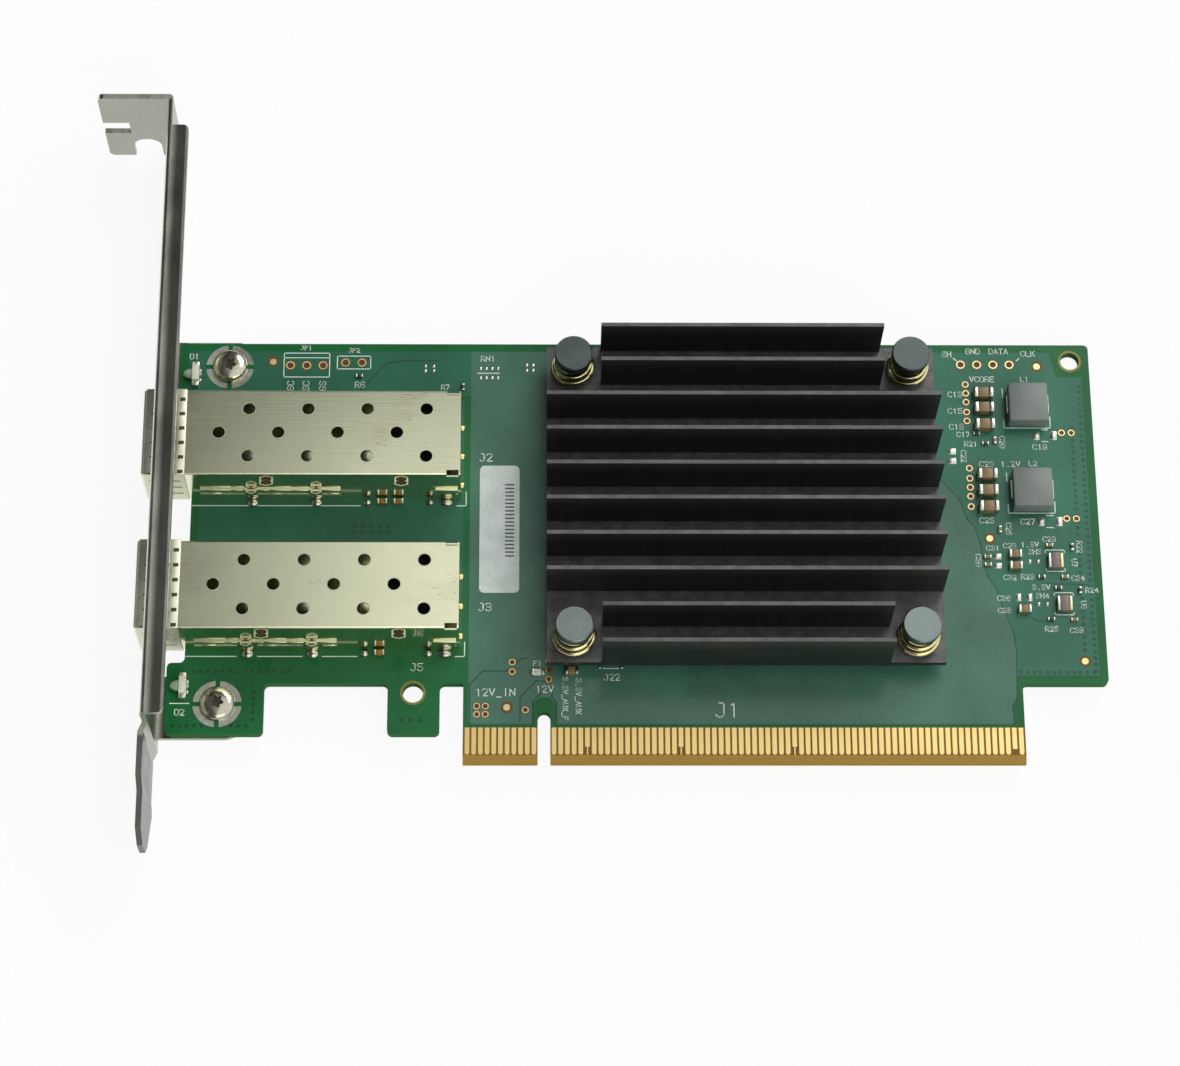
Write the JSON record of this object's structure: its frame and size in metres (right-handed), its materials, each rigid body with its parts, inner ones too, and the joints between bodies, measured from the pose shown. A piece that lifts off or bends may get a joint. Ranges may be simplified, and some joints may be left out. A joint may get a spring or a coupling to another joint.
{
  "type": "network interface card",
  "caption": "Low-profile network interface card with a card-edge connector, finned heat sink on spring pins, module port cages and a full-height slot bracket.",
  "frame": {"origin": "on the component face of the board, at the bottom edge of the edge connector, under the centre of its key notch", "axes": "+X along the card away from the bracket, +Y out of the slot to the card's top edge, +Z out of the component face"},
  "size_m": [0.1551, 0.12, 0.0185],
  "materials": {
    "board_laminate": "solder-masked laminate",
    "bracket_steel": "nickel-plated sheet steel",
    "cage_metal": "nickel-plated sheet",
    "capacitor_ceramic": "fired ceramic",
    "collar_metal": "nickel-plated spring sheet",
    "connector_plastic": "black moulding",
    "contact_metal": "gold-plated spring contacts",
    "fuse_ceramic": "fired ceramic",
    "gold_plating": "gold-plated copper",
    "inductor_body": "moulded iron powder",
    "lamp_plastic": "white body, clear lens",
    "lid_metal": "plain lid",
    "package_plastic": "black moulding compound",
    "pad_rubber": "filled silicone",
    "pin_metal": "plated pins",
    "screw_steel": "zinc-plated steel",
    "sink_aluminium": "black anodised",
    "spring_metal": "coppery spring wire",
    "sticker_paper": "plain white",
    "tinned_metal": "tinned"
  },
  "bodies": {
    "root": {"back_capacitors": "capacitor_ceramic", "blank_sticker": "sticker_paper", "bracket_screw_lower": "screw_steel", "bracket_screw_upper": "screw_steel", "cage_floor_lower": "cage_metal", "cage_floor_upper": "cage_metal", "circuit_board": "board_laminate", "controller_lid": "lid_metal", "controller_package": "package_plastic", "edge_contacts_back": "gold_plating", "edge_contacts_front": "gold_plating", "flash_memory": "package_plastic", "heat_sink": "sink_aluminium", "inductor_terminals_lower": "tinned_metal", "inductor_terminals_upper": "tinned_metal", "medium_capacitors": "capacitor_ceramic", "output_capacitors": "capacitor_ceramic", "pin_spring_1": "spring_metal", "pin_spring_2": "spring_metal", "pin_spring_3": "spring_metal", "pin_spring_4": "spring_metal", "port_cage_lower": "cage_metal", "port_cage_upper": "cage_metal", "port_capacitors": "capacitor_ceramic", "port_connector_lower": "connector_plastic", "port_connector_upper": "connector_plastic", "port_contacts_lower": "contact_metal", "port_contacts_upper": "contact_metal", "power_inductor_lower": "inductor_body", "power_inductor_upper": "inductor_body", "regulator_module_lower": "package_plastic", "regulator_module_upper": "package_plastic", "retaining_pin_1": "pin_metal", "retaining_pin_2": "pin_metal", "retaining_pin_3": "pin_metal", "retaining_pin_4": "pin_metal", "slot_bracket": "bracket_steel", "small_passives": "capacitor_ceramic", "spring_collar_lower": "collar_metal", "spring_collar_upper": "collar_metal", "status_lamp_lower": "lamp_plastic", "status_lamp_upper": "lamp_plastic", "supply_fuse": "fuse_ceramic", "thermal_pad": "pad_rubber"}
  },
  "joints": []
}
